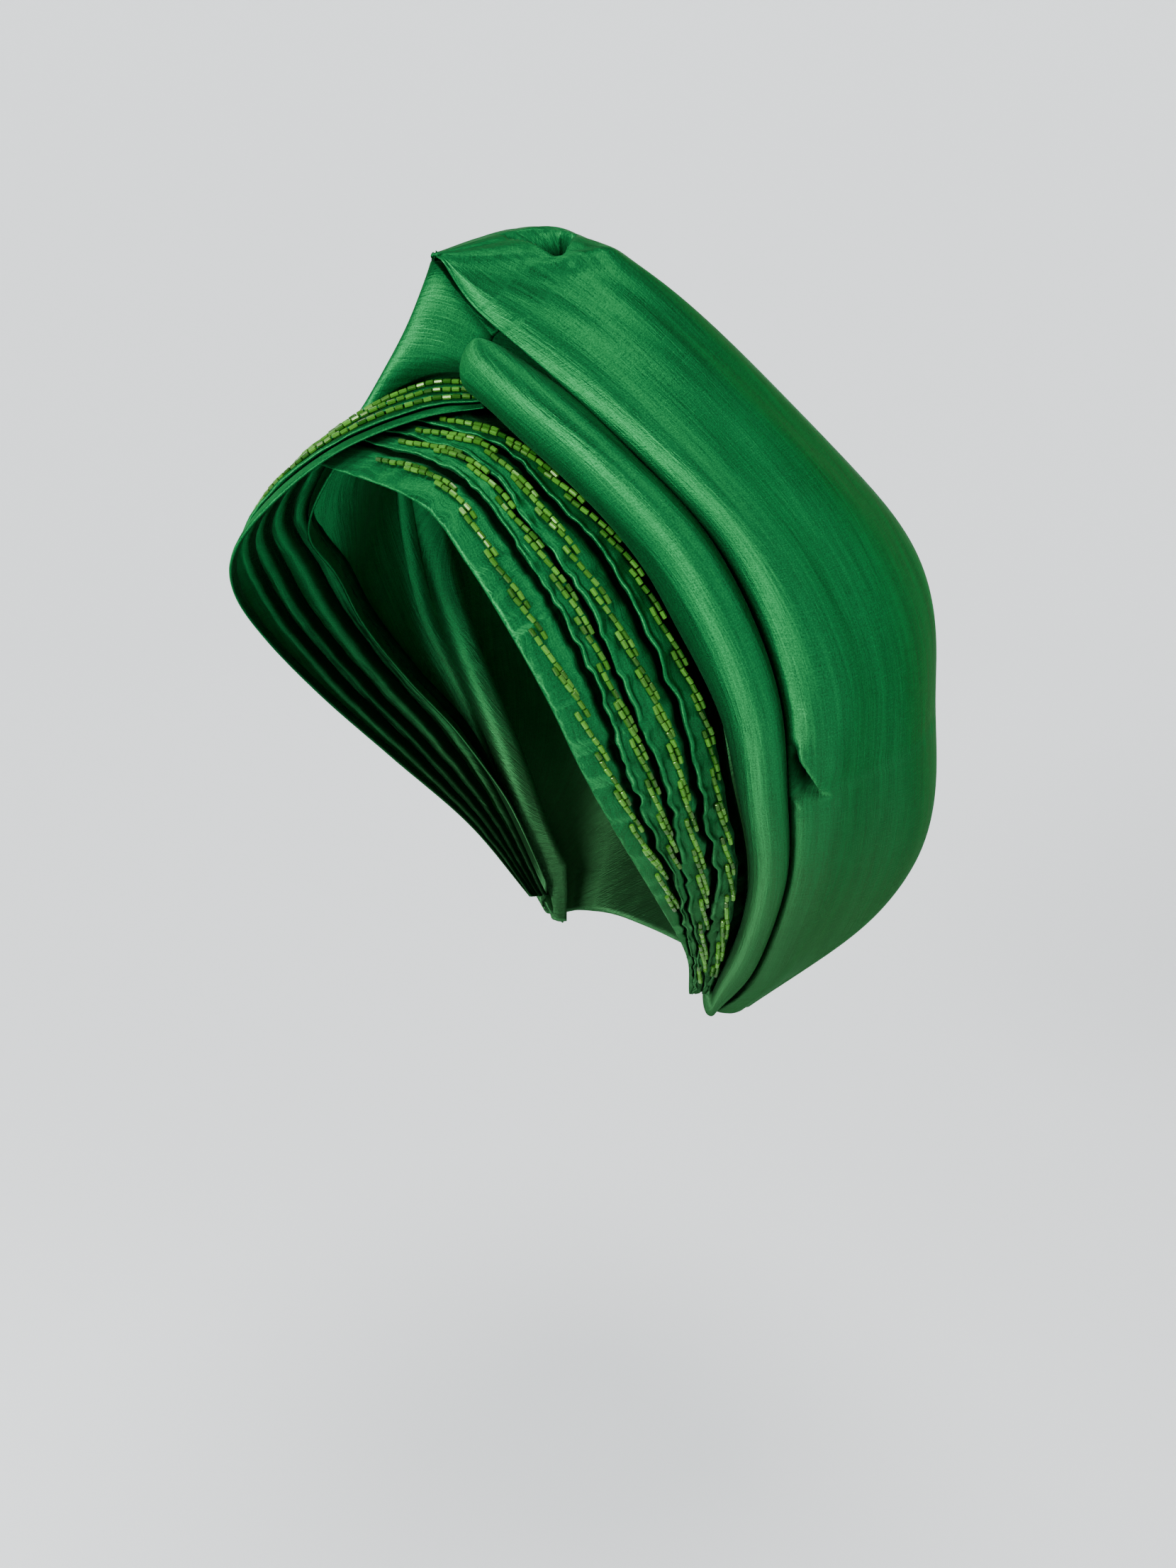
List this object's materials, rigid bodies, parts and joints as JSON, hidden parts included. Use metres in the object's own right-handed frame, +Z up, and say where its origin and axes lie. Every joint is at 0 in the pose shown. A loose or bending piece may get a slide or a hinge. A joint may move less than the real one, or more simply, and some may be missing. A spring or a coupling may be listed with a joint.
{
  "type": "beaded turban",
  "caption": "Draped cloth turban: full crown hanging back over the head, rolled side fold, and a pleated face band with rows of glass bugle beads.",
  "frame": {"origin": "the middle of the wearer's head, midway between the ears at the height of their fronts, where a head carries the turban", "axes": "+Z up, the wearer faces -Y, and +X is the wearer's left"},
  "size_m": [0.2188, 0.2222, 0.263],
  "materials": {
    "cloth": "emerald taffeta with a fine twill and a soft sheen",
    "beads": "translucent lime green bugle beads, glossy"
  },
  "bodies": {
    "root": {"crown": "cloth", "side_roll": "cloth", "front_panel": "cloth", "left_band": "cloth", "right_band": "cloth", "left_bead_row_1": "beads", "left_bead_row_2": "beads", "left_bead_row_3": "beads", "left_bead_row_4": "beads", "right_bead_row_1": "beads", "right_bead_row_2": "beads", "right_bead_row_3": "beads"}
  },
  "joints": []
}
